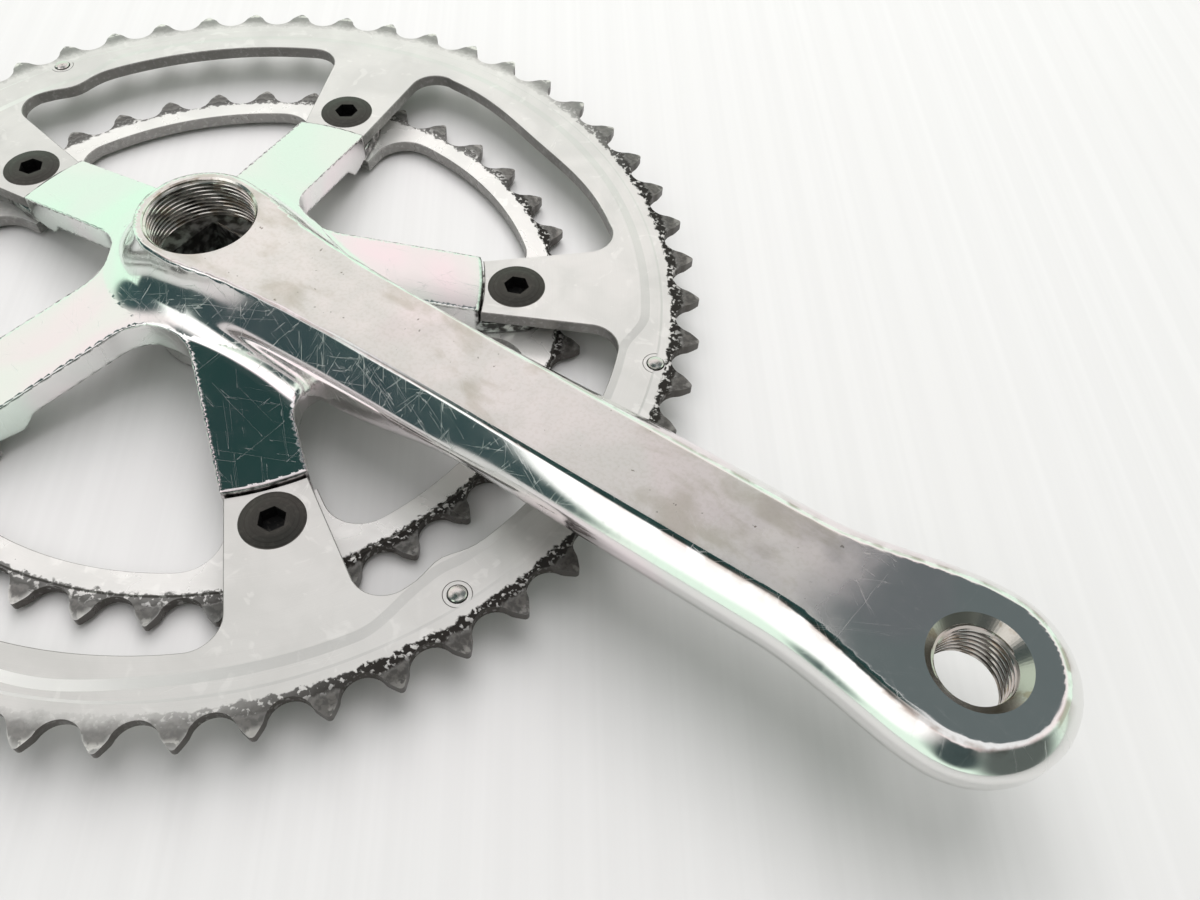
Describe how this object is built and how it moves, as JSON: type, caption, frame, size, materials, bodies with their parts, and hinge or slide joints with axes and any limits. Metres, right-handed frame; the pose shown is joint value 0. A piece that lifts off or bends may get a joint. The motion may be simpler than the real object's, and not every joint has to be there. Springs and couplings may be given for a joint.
{
  "type": "bicycle crankset",
  "caption": "Drive-side bicycle crank arm with a square taper hub, a star-shaped spider, two stacked toothed chainrings, hex socket chainring bolts with sleeve nuts, and shift pins.",
  "frame": {"origin": "on the bottom-bracket spindle's axis, at the back face of the hub boss, where the square taper opens", "axes": "+X along the crank arm from the spindle to the pedal hole, +Z along the spindle, outboard, +Y completes a right-handed set"},
  "size_m": [0.2966, 0.2128, 0.0321],
  "materials": {
    "polished_arm": "polished and clear anodised, scratched along the flanks and scuffed on the outer face",
    "satin_ring": "satin anodised, smudged, with dark chain grime at the teeth",
    "bright_ring": "bright brushed, with worn dark teeth",
    "dark_steel": "dark grey blacked steel with turning marks",
    "plated_steel": "zinc plated, dulled by grease",
    "pin_steel": "bare turned steel"
  },
  "bodies": {
    "crankset": {"crank_arm": "polished_arm", "outer_chainring": "satin_ring", "inner_chainring": "bright_ring", "shift_pin_1": "pin_steel", "shift_pin_2": "pin_steel", "shift_pin_3": "pin_steel", "shift_pin_4": "pin_steel", "chain_drop_pin": "pin_steel"},
    "bolt_1": {"chainring_bolt_1": "dark_steel"},
    "nut_1": {"chainring_nut_1": "plated_steel"},
    "bolt_2": {"chainring_bolt_2": "dark_steel"},
    "nut_2": {"chainring_nut_2": "plated_steel"},
    "bolt_3": {"chainring_bolt_3": "dark_steel"},
    "nut_3": {"chainring_nut_3": "plated_steel"},
    "bolt_4": {"chainring_bolt_4": "dark_steel"},
    "nut_4": {"chainring_nut_4": "plated_steel"},
    "bolt_5": {"chainring_bolt_5": "dark_steel"},
    "nut_5": {"chainring_nut_5": "plated_steel"}
  },
  "joints": [
    {"name": "bolt_1_turn", "type": "hinge", "parent": "crankset", "child": "bolt_1", "pos_m": [-0.065, 0, 0.0095], "axis": [0, 0, 1], "range_deg": [0, 1980]},
    {"name": "nut_1_back_off", "type": "slide", "parent": "crankset", "child": "nut_1", "axis": [0, 0, -1], "range_m": [0, 0.00413]},
    {"name": "bolt_2_turn", "type": "hinge", "parent": "crankset", "child": "bolt_2", "pos_m": [-0.02009, 0.06182, 0.0095], "axis": [0, 0, 1], "range_deg": [0, 1980]},
    {"name": "nut_2_back_off", "type": "slide", "parent": "crankset", "child": "nut_2", "axis": [0, 0, -1], "range_m": [0, 0.00413]},
    {"name": "bolt_3_turn", "type": "hinge", "parent": "crankset", "child": "bolt_3", "pos_m": [0.05259, 0.03821, 0.0095], "axis": [0, 0, 1], "range_deg": [0, 1980]},
    {"name": "nut_3_back_off", "type": "slide", "parent": "crankset", "child": "nut_3", "axis": [0, 0, -1], "range_m": [0, 0.00413]},
    {"name": "bolt_4_turn", "type": "hinge", "parent": "crankset", "child": "bolt_4", "pos_m": [0.05259, -0.03821, 0.0095], "axis": [0, 0, 1], "range_deg": [0, 1980]},
    {"name": "nut_4_back_off", "type": "slide", "parent": "crankset", "child": "nut_4", "axis": [0, 0, -1], "range_m": [0, 0.00413]},
    {"name": "bolt_5_turn", "type": "hinge", "parent": "crankset", "child": "bolt_5", "pos_m": [-0.02009, -0.06182, 0.0095], "axis": [0, 0, 1], "range_deg": [0, 1980]},
    {"name": "nut_5_back_off", "type": "slide", "parent": "crankset", "child": "nut_5", "axis": [0, 0, -1], "range_m": [0, 0.00413]}
  ],
  "couplings": [
    {"joint": "bolt_1_turn", "follows": "nut_1_back_off", "rad_per_m": 8377.6},
    {"joint": "bolt_2_turn", "follows": "nut_2_back_off", "rad_per_m": 8377.6},
    {"joint": "bolt_3_turn", "follows": "nut_3_back_off", "rad_per_m": 8377.6},
    {"joint": "bolt_4_turn", "follows": "nut_4_back_off", "rad_per_m": 8377.6},
    {"joint": "bolt_5_turn", "follows": "nut_5_back_off", "rad_per_m": 8377.6}
  ]
}
